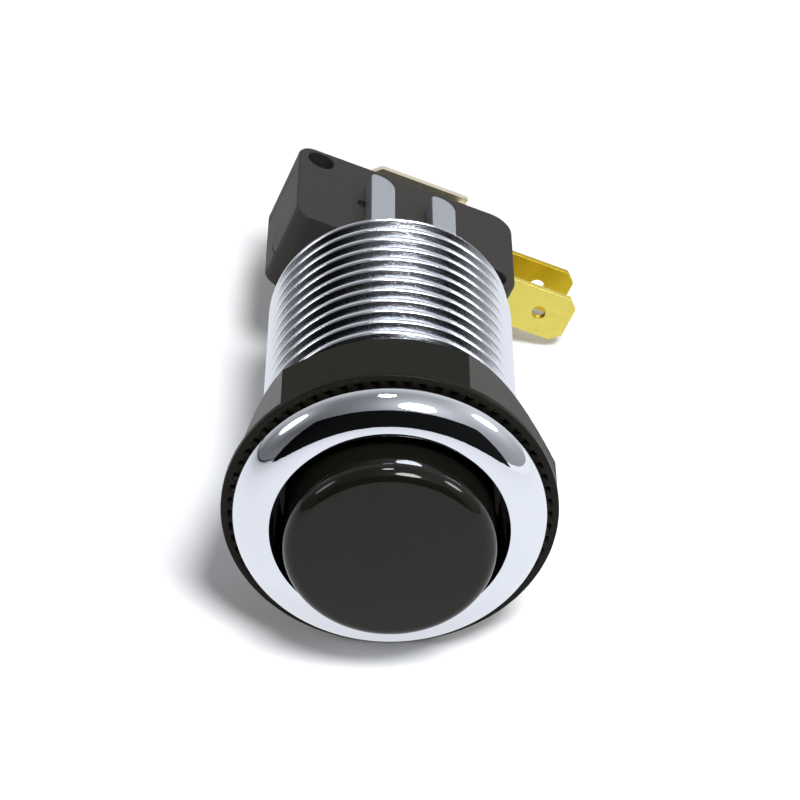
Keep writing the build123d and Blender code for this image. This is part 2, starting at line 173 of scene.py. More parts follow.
class SwitchSizes(bpy.types.PropertyGroup):
    """Sizes of the snap-action switch and its tabs."""

    front: size("Switch front", "Panel to the switch's front", 43.65)
    rear: size("Switch rear", "Panel to the switch's rear", 59.55)
    seam: size("Seam", "Panel to the seam of the case", 54.55)
    half_length: size("Half length", "Half the case's length", 13.9)
    half_thickness: size("Half thickness", "Half the case's thickness", 5.15)
    wall: size("Wall", "Thickness of the case's walls", 1.2)
    block: size("Hole block", "Solid corner round a mounting hole", 5.6)
    floor: size("Floor", "Thickness of the rear wall", 1.5)
    edge: size("Edge", "Rounding of the case's edges", 0.28)
    front_chamfer: size("Front chamfer", "Chamfer along the front of the big faces", 0.6)
    small_corner: size("Small corner", "Rounding of three corners", 2.0)
    large_corner: size("Large corner", "Rounding of the corner by the tabs", 2.8)
    hole_radius: size("Hole radius", "Mounting holes", 1.62)
    hole_inset: size("Hole inset", "Mounting holes from the case's ends", 2.8)
    hole_setback: size("Hole setback", "Mounting holes from the case's front and rear", 2.1)
    dimple_radius: size("Dimple radius", "Dimple in the upper big face", 0.8)
    dimple_depth: size("Dimple depth", "Depth of the dimple", 0.5)
    dimple_x: size("Dimple X", "Middle of the case to the dimple", -5.55)
    dimple_y: size("Dimple Y", "Panel to the dimple", 50.9)
    actuator_width: size("Actuator width", "Slot for the actuator, along the case", 2.6)
    actuator_depth: size("Actuator depth", "Slot for the actuator, across the case", 3.8)
    tab_half_width: size("Tab half width", "Half the width of a tab", 3.175)
    tab_thickness: size("Tab thickness", "Thickness of a tab", 0.8)
    tab_tip: size("Tab tip", "Middle of the case to the tabs' tips", 23.5)
    tab_root: size("Tab root", "Middle of the case to the tabs' inner ends", 10.6)
    tab_chamfer: size("Tab chamfer", "Clipped corners of a tab", 1.2)
    tab_hole: size("Tab hole", "Radius of the hole in a tab", 0.9)
    tab_hole_setback: size("Tab hole setback", "Hole from the tab's tip", 4.0)
    closed_tab: size("Closed tab", "Panel to the middle of the nearer tab", 50.15)
    open_tab: size("Open tab", "Panel to the middle of the farther tab", 55.95)
    common_place: size("Common place", "Common tab's bend from the middle", 9.1)
    strip_half_width: size("Strip half width", "Half the common strip inside the case", 2.0)
    leaf_front: size("Leaf front", "Panel to the snap leaf's bow", 51.55)
    leaf_half_length: size("Leaf half length", "Half the snap leaf's length", 2.25)
    leaf_half_width: size("Leaf half width", "Half the snap leaf's width", 1.35)
    leaf_thickness: size("Leaf thickness", "Thickness of the snap leaf", 0.2)
    leaf_drop: size("Leaf drop", "The snap leaf's free end behind its bow", 1.0)
    roll: bpy.props.FloatProperty(
        name="Switch roll",
        description="Switch turned about the axis",
        default=radians(20.8),
        subtype="ANGLE",
    )


class FinishColours(bpy.types.PropertyGroup):
    """Colours of the finishes."""

    chrome: colour("Chrome", "Plating of the bezel and barrel", (0.80, 0.84, 0.93))
    plunger: colour("Plunger", "Moulded plunger", (0.006, 0.006, 0.0045))
    nut: colour("Nut", "Moulded lock nut", (0.008, 0.0078, 0.006))
    case: colour("Case", "Moulded switch case", (0.022, 0.0212, 0.0196))
    actuator: colour("Actuator", "Switch actuator", (0.30, 0.02, 0.015))
    brass: colour("Brass", "Nearer tab", (0.90, 0.78, 0.17))
    # Painted shade: a darker copy of the brass for the farther tab, which sits in the nearer tab's shade
    deep_brass: colour("Deep brass", "Farther tab", (0.68, 0.50, 0.035))
    # Painted highlight: a pale brass for the common tab, standing in for the bright glare on its edge
    pale_brass: colour("Pale brass", "Common tab", (0.90, 0.83, 0.66))
    copper: colour("Copper", "Blade and snap leaf", (0.72, 0.42, 0.22))
    silver: colour("Silver", "Contacts", (0.80, 0.79, 0.76))
    steel: colour("Steel", "Return spring", (0.55, 0.55, 0.56))


class StageSettings(bpy.types.PropertyGroup):
    """Floor, lights and camera."""

    floor: colour("Floor", "White floor", (0.86, 0.87, 0.89))
    key: amount("Key", "Soft light high on the right", 3.75, "POWER")
    glare: amount("Glare", "Light in front, which only shows in reflections", 2.2, "POWER")
    side: amount("Side", "Light on the right", 0.8, "POWER")
    fill: amount("Fill", "Light on the left", 0.3, "POWER")
    world: amount("World", "Light from all round", 0.13)
    lens: amount("Lens", "Focal length in millimetres", 123.7, "CAMERA")


def in_mm(group):
    """A group's values, with its lengths in millimetres."""
    values = {}
    for item in group.bl_rna.properties:
        if item.identifier in group.__annotations__:
            value = getattr(group, item.identifier)
            values[item.identifier] = value * 1000 if item.unit == "LENGTH" else value
    return SimpleNamespace(**values)


def take(piece):
    """Makes a piece the only one selected, and active."""
    bpy.ops.object.select_all(action="DESELECT")
    piece.select_set(True)
    bpy.context.view_layer.objects.active = piece


@contextmanager
def editing(select=None):
    """Edit mode on the active piece, with what was selected, or with all or nothing."""
    bpy.ops.object.mode_set(mode="EDIT")
    if select:
        bpy.ops.mesh.select_all(action=select)
    yield
    bpy.ops.object.mode_set(mode="OBJECT")


def turned(piece, turn=(0, 0, 0), place=(0, 0, 0)):
    """A piece turned and moved, with that applied to its mesh."""
    take(piece)
    piece.rotation_euler = turn
    piece.location = place
    bpy.ops.object.transform_apply(location=True, rotation=True, scale=True)
    return piece


def chain(points):
    """A line of edges through (x, y) points, extruded vertex by vertex."""
    bpy.ops.object.select_all(action="DESELECT")
    bpy.ops.mesh.primitive_plane_add(size=1)
    piece = bpy.context.object
    with editing():
        bpy.ops.mesh.select_mode(type="VERT")
        bpy.ops.mesh.merge(type="CENTER")
        bpy.ops.transform.translate(value=(points[0][0], points[0][1], 0))
        for (x0, y0), (x1, y1) in zip(points, points[1:]):
            bpy.ops.mesh.extrude_vertices_move(TRANSFORM_OT_translate={"value": (x1 - x0, y1 - y0, 0)})
    return piece


def heal(piece):
    """Merges doubles and points the faces outwards."""
    take(piece)
    with editing("SELECT"):
        bpy.ops.mesh.remove_doubles(threshold=MERGE)
        bpy.ops.mesh.normals_make_consistent(inside=False)


def lathe(outline, steps):
    """Spins a closed outline of (radius, y) points about the Y axis."""
    piece = chain(outline + outline[:1])
    with editing("SELECT"):
        bpy.ops.mesh.spin(steps=steps, angle=tau, center=(0, 0, 0), axis=(0, 1, 0))
    heal(piece)
    return piece


def face(outline):
    """A flat face inside a closed outline of (x, y) points."""
    piece = chain(outline + outline[:1])
    with editing("SELECT"):
        bpy.ops.mesh.remove_doubles(threshold=MERGE)
        bpy.ops.mesh.edge_face_add()
    return piece


def slab(outline, low, high):
    """Extrudes a closed outline of (x, y) points from one Z to another."""
    piece = face(outline)
    with editing("SELECT"):
        bpy.ops.transform.translate(value=(0, 0, low))
        bpy.ops.mesh.extrude_region_move(TRANSFORM_OT_translate={"value": (0, 0, high - low)})
    heal(piece)
    return piece


def block(low, high):
    """Box between two corners."""
    (x0, y0, z0), (x1, y1, z1) = low, high
    return slab([(x0, y0), (x1, y0), (x1, y1), (x0, y1)], z0, z1)


def rod(radius, start, end, x=0):
    """Cylinder along Y."""
    piece = lathe([(0, start), (radius, start), (radius, end), (0, end)], 64)
    return turned(piece, place=(x, 0, 0))


def cross_rod(radius, low, high, x, y):
    """Cylinder through the switch's thickness."""
    return turned(rod(radius, low, high), (pi / 2, 0, 0), (x, y, 0))


def arc(centre, radii, start, end, count):
    """Points on an elliptical arc, from one angle to another in degrees."""
    turns = [radians(start + (end - start) * i / count) for i in range(count + 1)]
    return [(centre[0] + radii[0] * cos(a), centre[1] + radii[1] * sin(a)) for a in turns]


def bow(first, middle, last, count):
    """Points on the circle through three points, where the middle one is the lowest."""
    (ax, ay), (bx, by), (cx, cy) = first, middle, last
    twice = 2 * (ax * (by - cy) + bx * (cy - ay) + cx * (ay - by))
    a, b, c = (x * x + y * y for x, y in (first, middle, last))
    x = (a * (by - cy) + b * (cy - ay) + c * (ay - by)) / twice
    y = (a * (cx - bx) + b * (ax - cx) + c * (bx - ax)) / twice
    radius = hypot(ax - x, ay - y)
    start, end = degrees(atan2(ay - y, ax - x)), degrees(atan2(cy - y, cx - x))
    return arc((x, y), (radius, radius), start, end, count)


def modify(piece, kind, **settings):
    """Adds a modifier with its settings and applies it."""
    take(piece)
    bpy.ops.object.modifier_add(type=kind)
    modifier = piece.modifiers[-1]
    for key, value in settings.items():
        setattr(modifier, key, value)
    bpy.ops.object.modifier_apply(modifier=modifier.name)


def carve(piece, tool, operation="DIFFERENCE"):
    """Combines a piece with a tool, which is used up."""
    modify(piece, "BOOLEAN", operation=operation, solver="EXACT", object=tool)
    take(tool)
    bpy.ops.object.delete()


def soften(piece, width, segments=3, angle=30):
    """Rounds every edge that turns by more than an angle in degrees."""
    modify(
        piece, "BEVEL", width=width, segments=segments, limit_method="ANGLE", angle_limit=radians(angle)
    )


def round_edges(piece, chosen, radius, segments):
    """Bevels the edges whose two ends pass a test."""
    take(piece)
    with editing("DESELECT"):
        bpy.ops.mesh.select_mode(type="EDGE")
    points = piece.data.vertices
    for edge in piece.data.edges:
        first, second = (points[i].co for i in edge.vertices)
        edge.select = chosen(first, second)
    with editing():
        bpy.ops.mesh.bevel(offset=radius, segments=segments, affect="EDGES")


def upright(y, *places):
    """A test for the edges along Z at one Y and at one of some X places."""

    def chosen(first, second):
        level = max(abs(first.y - y), abs(second.y - y), abs(first.x - second.x)) < 0.01
        return level and any(abs(first.x - x) < 0.01 for x in places)

    return chosen


def copied(piece, shift):
    """A copy of a piece with its own mesh, moved."""
    take(piece)
    bpy.ops.object.duplicate()
    return turned(bpy.context.object, place=shift)


def joined(pieces):
    """One object of several."""
    take(pieces[0])
    for piece in pieces[1:]:
        piece.select_set(True)
    bpy.ops.object.join()
    return pieces[0]


def settle(piece, name, paint, body, slot, nodes, roll=0, smooth=30, flat=False):
    """Scales a piece to the frame, rolls it, shades it and hands it over with its finish."""
    take(piece)
    piece.name = name
    piece.data.name = name
    piece.scale = (0.001, 0.001, 0.001)
    piece.rotation_euler = (0, roll, 0)
    bpy.ops.object.transform_apply(location=True, rotation=True, scale=True)
    bpy.ops.object.shade_smooth_by_angle(angle=radians(smooth))
    if flat:
        modify(piece, "WEIGHTED_NORMAL", keep_sharp=True)
    piece.data.materials.append(paint)
    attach(piece, body)
    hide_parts(*nodes)


class Field:
    """A socket of a finish that Python arithmetic can be written on."""

    def __init__(self, finish, socket):
        self.finish = finish
        self.socket = socket

    def maths(self, operation, *values):
        return self.finish.add("ShaderNodeMath", {"operation": operation}, dict(enumerate(values)))

    def __add__(self, other):
        return self.maths("ADD", self, other)

    def __radd__(self, other):
        return self.maths("ADD", other, self)

    def __sub__(self, other):
        return self.maths("SUBTRACT", self, other)

    def __rsub__(self, other):
        return self.maths("SUBTRACT", other, self)

    def __mul__(self, other):
        return self.maths("MULTIPLY", self, other)

    def __rmul__(self, other):
        return self.maths("MULTIPLY", other, self)

    def __gt__(self, other):
        return self.maths("GREATER_THAN", self, other)

    def __lt__(self, other):
        return self.maths("LESS_THAN", self, other)

    def __pow__(self, other):
        return self.maths("POWER", self, other)

    def held(self):
        """The value kept between 0 and 1."""
        return self.maths("MINIMUM", self.maths("MAXIMUM", self, 0), 1)


class Finish:
    """A material, or another node tree, built from fields."""

    def __init__(self, tree):
        self.tree = tree

    def add(self, kind, settings=None, inputs=None, output=0):
        """Adds a node with its settings and inputs, and gives one output as a field."""
        node = self.tree.nodes.new(kind)
        for key, value in (settings or {}).items():
            setattr(node, key, value)
        self.feed(node, inputs or {})
        return Field(self, node.outputs[output]) if node.outputs else None

    def feed(self, node, inputs):
        """Sets or links a node's sockets."""
        for key, value in inputs.items():
            if isinstance(value, Field):
                self.tree.links.new(value.socket, node.inputs[key])
            else:
                node.inputs[key].default_value = value

    def place(self, scale=1.0):
        """The piece's own coordinates in millimetres, times a scale."""
        spot = self.add("ShaderNodeTexCoord", output="Object")
        if not isinstance(scale, tuple):
            scale = (scale, scale, scale)
        stretch = tuple(1000 * s for s in scale)
        return self.add("ShaderNodeVectorMath", {"operation": "MULTIPLY"}, {0: spot, 1: stretch})

    def axis(self, index):
        """One of the piece's coordinates in millimetres."""
        return self.add("ShaderNodeSeparateXYZ", None, {0: self.place()}, index)

    def noise(self, scale, detail=2.0, roughness=0.5):
        """Smooth noise, about 0.5, whose blobs are 1 / scale millimetres."""
        return self.add(
            "ShaderNodeTexNoise",
            None,
            {"Vector": self.place(scale), "Scale": 1.0, "Detail": detail, "Roughness": roughness},
        )

    def spots(self, scale, radius):
        """Mask of scattered round specks."""
        far = self.add("ShaderNodeTexVoronoi", None, {"Vector": self.place(scale), "Scale": 1.0})
        return far < radius

    def mix(self, factor, first, second):
        """Colour between two, by a field."""
        sockets = {"Factor": factor, 6: opaque(first), 7: opaque(second)}
        return self.add("ShaderNodeMix", {"data_type": "RGBA"}, sockets, 2)

    def blend(self, factor, first, second):
        """Shader between two, by a field."""
        return self.add("ShaderNodeMixShader", None, {0: factor, 1: first, 2: second})

    def bump(self, height, depth):
        """Normal of a relief of a depth in millimetres."""
        return self.add("ShaderNodeBump", None, {"Height": height, "Distance": depth / 1000})


def opaque(shade):
    """A colour with its alpha, or a field as it is."""
    return shade if isinstance(shade, Field) else (*shade[:3], 1.0)


def finish(name, make):
    """A material whose surface is a principled shader, with the sockets that make gives."""
    paint = bpy.data.materials.new(name)
    paint.use_nodes = True
    work = Finish(paint.node_tree)
    work.feed(paint.node_tree.nodes["Principled BSDF"], make(work))
    return paint


def dress(node, paint):
    """Gives a CAD node its finish."""
    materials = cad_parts[node].data.materials
    materials.clear()
    materials.append(paint)


def colour_of(name):
    """One of the finishes' colours."""
    return tuple(getattr(bpy.context.scene.button_colours, name))


def shaded(shade, factor):
    """A colour made lighter or darker."""
    return tuple(min(1.0, c * factor) for c in shade)


def polished_chrome(work):
    """Bright plating with faint haze and fine turning lines, with painted shade in the recess, which is
    coloured black and not metal.
    """
    tint = colour_of("chrome")
    h = in_mm(bpy.context.scene.button_housing)
    haze = work.noise(0.12, 3)
    grain = work.noise((2.2, 9.0, 2.2), 3)
    x, y, z = work.axis(0), work.axis(1), work.axis(2)
    # Painted shade: the recess round the plunger is coloured black and not metal, standing in for the shade
    # and dark reflections deep inside it
    recess = (x * x + z * z < (h.opening_radius + 0.02) ** 2) * (y > 0.05 - h.lip_height)
    recess = recess * (y < h.recess_depth + 0.1)
    plating = work.mix(haze, shaded(tint, 0.97), shaded(tint, 1.03))
    return {
        "Base Color": work.mix(recess, plating, (0.006, 0.006, 0.006)),
        "Metallic": 1 - recess,
        "Roughness": (0.01 + 0.02 * haze + 0.02 * grain).held(),
        "Normal": work.bump(work.noise(0.7, 3), 0.006),
    }


def thread_chrome(work):
    """Plating over a moulded thread, speckled where the mould was rough."""
    tint = colour_of("chrome")
    speck = work.noise(6.5, 4, 0.7)
    return {
        "Base Color": work.mix(speck, shaded(tint, 0.9), shaded(tint, 1.05)),
        "Metallic": 1.0,
        "Roughness": (0.015 + 0.03 * speck).held(),
        "Normal": work.bump(speck, 0.012),
    }


def satin_chrome(work):
    """Duller plating on the legs, with a fine grain."""
    tint = colour_of("chrome")
    grain = work.noise(5.0, 4, 0.65)
    return {
        "Base Color": work.mix(grain, shaded(tint, 0.46), shaded(tint, 0.84)),
        "Metallic": 1.0,
        "Roughness": (0.30 + 0.2 * grain).held(),
        "Normal": work.bump(grain, 0.02),
    }


def gloss_black(work):
    """Polished black moulding with a little haze and a few grains of dust."""
    tint = colour_of("plunger")
    haze = work.noise(0.15, 3)
    dust = work.spots(0.22, 0.014)
    clean = work.mix(haze, shaded(tint, 0.8), shaded(tint, 1.25))
    return {
        "Base Color": work.mix(dust, clean, (0.16, 0.16, 0.14)),
        "Roughness": (0.04 + 0.05 * haze + 0.5 * dust).held(),
        "Specular IOR Level": 0.3,
        "Normal": work.bump(work.noise(1.2, 2), 0.003),
    }


def satin_black(work):
    """Moulded nut with a satin skin and faint flow marks."""
    tint = colour_of("nut")
    flow = work.noise((0.25, 0.6, 0.25), 4, 0.6)
    skin = work.noise(7.0, 3)
    return {
        "Base Color": work.mix(flow, shaded(tint, 0.7), shaded(tint, 1.4)),
        "Roughness": (0.2 + 0.1 * flow + 0.05 * skin).held(),
        "Specular IOR Level": 0.1,
        "Normal": work.bump(skin, 0.004),
    }


def case_grey(work):
    """Matte moulded case with a fine spark-eroded texture."""
    tint = colour_of("case")
    cloud = work.noise(0.2, 4, 0.6)
    skin = work.noise(9.0, 3, 0.6)
    return {
        "Base Color": work.mix(cloud, shaded(tint, 0.8), shaded(tint, 1.25)),
        "Roughness": (0.42 + 0.12 * cloud + 0.1 * skin).held(),
        "Specular IOR Level": 0.3,
        "Normal": work.bump(skin, 0.012),
    }


def actuator_red(work):
    """Smooth moulded actuator."""
    tint = colour_of("actuator")
    cloud = work.noise(0.8, 3)
    return {
        "Base Color": work.mix(cloud, shaded(tint, 0.8), shaded(tint, 1.2)),
        "Roughness": (0.3 + 0.15 * cloud).held(),
        "Normal": work.bump(work.noise(8.0, 2), 0.004),
    }


def stamped_brass(tint):
    """A maker of rolled and stamped brass with mottling and fine rolling lines."""

    def make(work):
        mottle = work.noise(0.8, 4, 0.65)
        lines = work.noise((0.6, 6.0, 9.0), 3, 0.6)
        tone = work.mix(mottle, shaded(tint, 0.82), shaded(tint, 1.12))
        return {
            "Base Color": work.mix(0.35 * lines, tone, shaded(tint, 0.7)),
            "Metallic": 1.0,
            "Roughness": (0.24 + 0.14 * mottle + 0.1 * lines).held(),
            "Normal": work.bump(lines, 0.008),
        }

    return make


def rolled_metal(shade, rough):
    """A maker of thin rolled metal with grain."""

    def make(work):
        grain = work.noise(3.0, 4, 0.6)
        return {
            "Base Color": work.mix(grain, shaded(shade, 0.85), shaded(shade, 1.1)),
            "Metallic": 1.0,
            "Roughness": (rough + 0.16 * grain).held(),
            "Normal": work.bump(grain, 0.006),
        }

    return make


class BUTTON_OT_housing(bpy.types.Operator):
    """Bezel, threaded barrel, web and switch legs, one plated moulding"""

    bl_idname = "button.housing"
    bl_label = "Housing"

    def execute(self, context):
        h = in_mm(context.scene.button_housing)
        switch = in_mm(context.scene.button_switch)
        plunger = in_mm(context.scene.button_plunger)
        flank = radians(60)
        rounding = h.crest_rounding + h.root_rounding
        flank_run = h.thread_pitch / 2 - rounding * sin(flank)
        depth = flank_run * tan(flank) + rounding * (1 - cos(flank))
        core = h.barrel_radius - depth - SINK

        # Bezel with the smooth inside of the barrel, which ends just short of the thread
        tube_end = h.barrel_length - 0.02
        rim = 0.8 * h.bezel_rim
        roll = h.bezel_height + h.roll_setback
        roll_end = asin((h.roll_setback + h.bezel_rim) / roll)
        outline = [(core, tube_end), (core, 0)]
        outline += arc((h.bezel_radius - rim, -rim), (rim, rim), 90, 0, 4)
        outline += arc(
            (h.crown_radius, h.roll_setback),
            ((h.bezel_radius - h.crown_radius) / cos(roll_end), roll),
            -degrees(roll_end), -90, 40,
        )
        outline += arc(
            (h.crown_radius, -h.lip_height),
            (h.crown_radius - h.opening_radius, h.bezel_height - h.lip_height),
            -90, -180, 16,
        )[1:]
        outline += [(h.opening_radius, h.recess_depth), (h.bore_radius, h.recess_depth)]
        outline += [(h.bore_radius, tube_end)]
        bezel = lathe(outline, 256)

        # Web, pierced for the pusher and the two hooks
        edge = core - 0.3
        web = lathe([(0, h.web_front), (edge, h.web_front), (edge, h.web_rear), (0, h.web_rear)], 96)
        slide_fit, pass_gap = 0.1, 0.25
        low, high = h.web_front - 1, h.web_rear + 1
        near, far = plunger.hook_inner - pass_gap, plunger.hook_outer + pass_gap
        side = plunger.hook_width / 2 + pass_gap
        carve(web, rod(plunger.pusher_radius + slide_fit, low, high, x=-plunger.pusher_place))
        carve(web, block((-side, low, near), (side, high, far)))
        carve(web, block((-side, low, -far), (side, high, -near)))
        soften(web, 0.12, 2)
        shell = joined([bezel, turned(web, (0, switch.roll, 0))])
        chrome = finish("polished_chrome", polished_chrome)
        settle(shell, "bezel_and_bore", chrome, "body", "chrome_plating", ["housing"])

        # Thread: one pitch of its outline, screwed along the barrel and cut off square
        crest = h.barrel_length - h.last_crest - 0.75 * h.thread_pitch
        turns = ceil(h.barrel_length / h.thread_pitch) + 4
        start = crest - (turns - 2) * h.thread_pitch
        top = h.barrel_radius - h.crest_rounding
        bottom = h.barrel_radius - depth + h.root_rounding
        crest_radii, root_radii = (h.crest_rounding,) * 2, (h.root_rounding,) * 2
        ridge = arc((top, start), crest_radii, -60, 60, 10)
        ridge += arc((bottom, start + h.thread_pitch / 2), root_radii, 240, 120, 6)
        ridge += arc((top, start + h.thread_pitch), crest_radii, -60, 60, 1)[:1]
        thread = chain(ridge)
        modify(
            thread, "SCREW", axis="Y", angle=tau, screw_offset=h.thread_pitch, iterations=turns,
            steps=144, render_steps=144,
        )
        heal(thread)
        with editing("SELECT"):
            above = (0, h.barrel_length + 0.5, 0)
            bpy.ops.mesh.bisect(plane_co=above, plane_no=(0, 1, 0), use_fill=True, clear_outer=True)
        with editing("SELECT"):
            below = (0, -0.5, 0)
            bpy.ops.mesh.bisect(plane_co=below, plane_no=(0, 1, 0), use_fill=True, clear_inner=True)
        heal(thread)
        edge = h.barrel_radius + 0.3
        sleeve = [
            (core - 0.05, 0.01),
            (edge, 0.01),
            (edge, h.barrel_length - h.end_chamfer - 0.3),
            (h.barrel_radius - h.end_chamfer, h.barrel_length),
            (core - 0.05, h.barrel_length),
        ]
        carve(thread, lathe(sleeve, 150), "INTERSECT")
        plated = finish("thread_chrome", thread_chrome)
        settle(thread, "barrel_thread", plated, "body", "chrome_plating", ["housing"], smooth=50, flat=True)

        # Legs: one is modelled and copied along the switch, then mirrored to its other face
        half = h.leg_width / 2
        inner = switch.half_thickness
        outer = inner + h.leg_thickness
        middle = -h.leg_spacing / 2
        left, right = middle - half, middle + half
        root = h.web_rear - 0.5
        leg = block((left, root, inner), (right, h.leg_tip, outer))
        round_edges(leg, upright(h.leg_tip, left), h.leg_small_corner, 6)
        round_edges(leg, upright(h.leg_tip, right), h.leg_large_corner, 10)
        foot = block((left, root, inner - h.leg_step), (right, switch.front, outer - SINK))
        carve(leg, foot, "UNION")
        soften(leg, 0.16, 3, 40)
        pair = joined([leg, copied(leg, (h.leg_spacing, 0, 0))])
        twin = copied(pair, (0, 0, 0))
        take(twin)
        bpy.ops.transform.mirror(constraint_axis=(False, False, True), center_override=(0, 0, 0))
        bpy.ops.object.transform_apply(location=True, rotation=True, scale=True)
        heal(twin)
        legs = joined([pair, twin])
        satin = finish("satin_chrome", satin_chrome)
        settle(legs, "switch_legs", satin, "body", "chrome_plating", ["housing"], switch.roll, flat=True)
        return {"FINISHED"}


class BUTTON_OT_plunger(bpy.types.Operator):
    """Domed plunger with its skirt, ribs, boss, pusher and hooks"""

    bl_idname = "button.plunger"
    bl_label = "Plunger"

    def execute(self, context):
        p = in_mm(context.scene.button_plunger)
        switch = in_mm(context.scene.button_switch)
        dome = (p.radius**2 + p.dome_rise**2) / (2 * p.dome_rise)
        dome_y = dome - p.height
        rim_x = p.radius - p.rounding
        rim_y = dome_y - sqrt((dome - p.rounding) ** 2 - rim_x**2)
        under = p.crown - p.height
        reach = dome / (dome - p.rounding)
        edge_x = rim_x * reach
        outline = [(0, -p.height)]
        for i in range(1, 12):
            x = edge_x * i / 12
            outline.append((x, dome_y - sqrt(dome**2 - x**2)))
        lean = 270 + degrees(rim_x / (dome - p.rounding))
        outline += arc((rim_x, rim_y), (p.rounding, p.rounding), lean, 360, 14)
        inside = p.radius - p.wall
        outline += [(p.radius, p.skirt_depth), (inside, p.skirt_depth), (inside, under), (0, under)]
        cap = lathe(outline, 256)
        wide = p.radius - p.wall / 2
        slim = p.rib / 2
        parts = [
            cap,
            block((-wide, under - SINK, -slim), (wide, p.seat, slim)),
            block((-slim, under - SINK, -wide), (slim, p.seat, wide)),
            rod(p.boss_radius, under - SINK, p.boss_end),
            rod(p.pusher_radius, p.skirt_depth - p.root, p.pusher_end, x=-p.pusher_place),
        ]
        half = p.hook_width / 2
        barb_front = in_mm(context.scene.button_housing).web_rear + 0.05
        nose = p.hook_inner - p.barb
        profile = [
            (p.hook_inner, p.skirt_depth - p.root),
            (p.hook_outer, p.skirt_depth - p.root),
            (p.hook_outer, p.hook_end),
            (p.hook_inner, p.hook_end),
            (nose, barb_front + p.barb_land),
            (nose, barb_front),
            (p.hook_inner, barb_front),
        ]
        hook = slab(profile, -half, half)
        soften(hook, 0.08, 2)
        turned(hook, (0, -pi / 2, 0))
        twin = turned(copied(hook, (0, 0, 0)), (0, pi, 0))
        whole = joined(parts + [hook, twin])
        gloss = finish("gloss_black", gloss_black)
        settle(whole, "plunger_cap", gloss, "plunger_body", "black_plastic", ["plunger"], switch.roll)
        return {"FINISHED"}


class BUTTON_OT_spring(bpy.types.Operator):
    """Return spring, a rigid coil from the plunger's seat to the web"""

    bl_idname = "button.spring"
    bl_label = "Return spring"

    def execute(self, context):
        p = in_mm(context.scene.button_plunger)
        end = in_mm(context.scene.button_housing).web_front
        first = p.seat + p.wire_radius
        last = end - p.wire_radius
        ring = arc((p.spring_radius, first), (p.wire_radius, p.wire_radius), 0, 360, 12)
        coil = face(ring[:-1])
        turns = 6
        modify(
            coil, "SCREW", axis="Y", angle=tau, screw_offset=(last - first) / turns, iterations=turns,
            steps=48, render_steps=48,
        )
        with editing("SELECT"):
            bpy.ops.mesh.fill_holes(sides=0)
        heal(coil)
        steel = finish("spring_wire", rolled_metal(colour_of("steel"), 0.22))
        settle(coil, "coil_spring", steel, "body", "spring_steel", ["return_spring"], smooth=60)
        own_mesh(coil)
        return {"FINISHED"}


class BUTTON_OT_nut(bpy.types.Operator):
    """Lock nut with two wide flats and a serrated flange"""

    bl_idname = "button.nut"
    bl_label = "Lock nut"

    def execute(self, context):
        n = in_mm(context.scene.button_nut)
        front = n.front
        back = front + n.flange_thickness
        groove_end = n.flange_radius - n.tooth_rim
        rim = 0.15

        # Flange, whose front is pressed in at every serration in three steps
        outline = [(n.hole_radius, front), (n.hole_radius + 0.6, front), (groove_end - 0.35, front)]
        outline += [(groove_end - 0.14, front), (groove_end, front)]
        outline += arc((n.flange_radius - rim, front + rim), (rim, rim), -90, 0, 4)
        outline += [(n.flange_radius, back), (n.hole_radius, back)]
        per_tooth = 12
        flange = lathe(outline, n.teeth * per_tooth)
        step = tau / (n.teeth * per_tooth)
        for half_width, share, end in ((3, 0.15, 0.07), (2, 0.5, 0.07), (1, 0.35, 0.25)):
            with editing("DESELECT"):
                bpy.ops.mesh.select_mode(type="VERT")
            for vertex in flange.data.vertices:
                radius = hypot(vertex.co.x, vertex.co.z)
                turn = round(atan2(vertex.co.z, vertex.co.x) / step) % per_tooth
                inside = n.hole_radius + 0.3 < radius < groove_end - end
                vertex.select = vertex.co.y < back - 0.1 and inside and abs(turn - 4) <= half_width
            with editing():
                bpy.ops.transform.translate(value=(0, share * n.tooth_depth, 0))

        # Six flats, cut by a ring with the hole inside and a cone towards the rear
        half = sqrt(n.corner_radius**2 - n.flat_radius**2)
        hexagon = [
            (half, n.flat_radius), (n.corner_radius, 0), (half, -n.flat_radius),
            (-half, -n.flat_radius), (-n.corner_radius, 0), (-half, n.flat_radius),
        ]
        body = slab(hexagon, -(front + n.length + 1), -(front + n.tooth_depth + 0.1))
        turned(body, (pi / 2, 0, 0))
        rise = (n.corner_radius - n.flat_radius) / (n.length - n.corner_length)
        end = front + n.length
        wide = n.corner_radius + 3
        ring = [
            (n.hole_radius, front),
            (wide, front),
            (wide, end - (wide - n.flat_radius) / rise),
            (n.flat_radius + 0.03, end),
            (n.hole_radius, end),
        ]
        carve(body, lathe(ring, 180), "INTERSECT")
        soften(body, 0.22, 3, 25)
        whole = joined([turned(body, (0, -n.turn, 0)), flange])
        satin = finish("satin_black", satin_black)
        settle(whole, "toothed_nut", satin, "nut_body", "nut_plastic", ["lock_nut"], smooth=50, flat=True)
        return {"FINISHED"}


